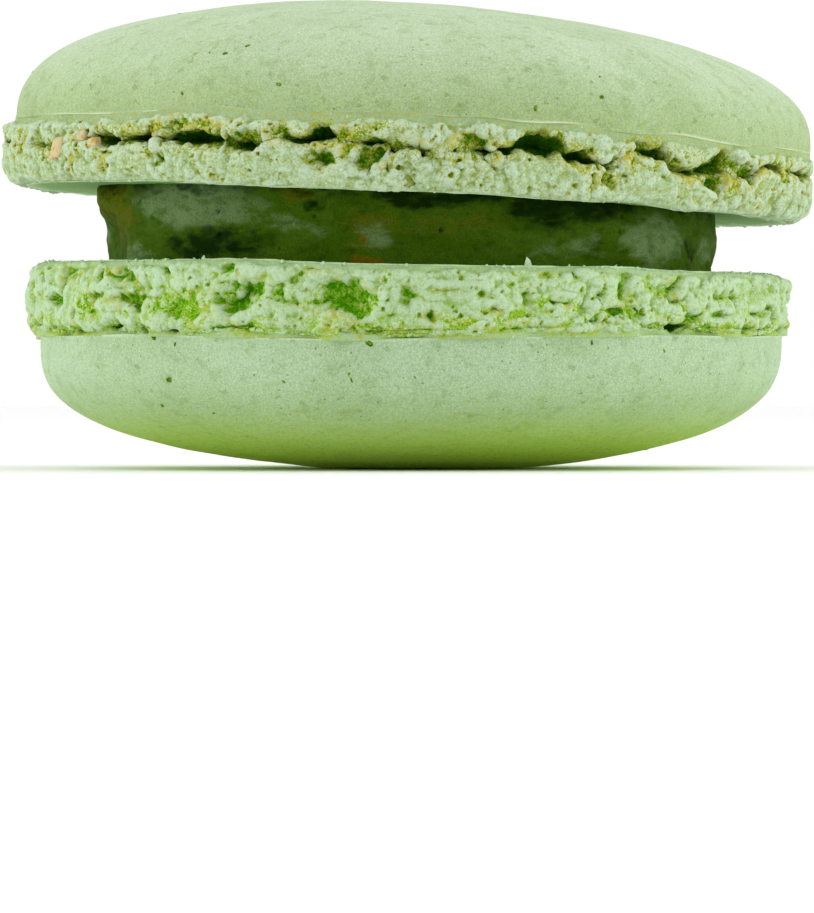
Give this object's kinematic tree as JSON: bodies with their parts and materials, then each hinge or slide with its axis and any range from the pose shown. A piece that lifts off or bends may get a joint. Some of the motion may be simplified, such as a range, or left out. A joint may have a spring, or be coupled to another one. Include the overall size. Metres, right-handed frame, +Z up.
{
  "type": "french macaron",
  "caption": "Round sandwich biscuit of domed meringue shells with torn, frothy feet, joined by a thick disc of dark green cream.",
  "frame": {"origin": "on the resting surface, under the middle of the macaron", "axes": "+Z up, -Y to the front, +X to the right, where the upper shell leans down"},
  "size_m": [0.048, 0.0484, 0.0275],
  "materials": {
    "shell": "matt, pale green baked meringue, smooth on the dome and crumbly on the foot",
    "cream": "dense, slightly moist dark green nut cream"
  },
  "bodies": {
    "root": {"lower_shell": "shell", "cream_filling": "cream", "upper_shell": "shell"}
  },
  "joints": []
}
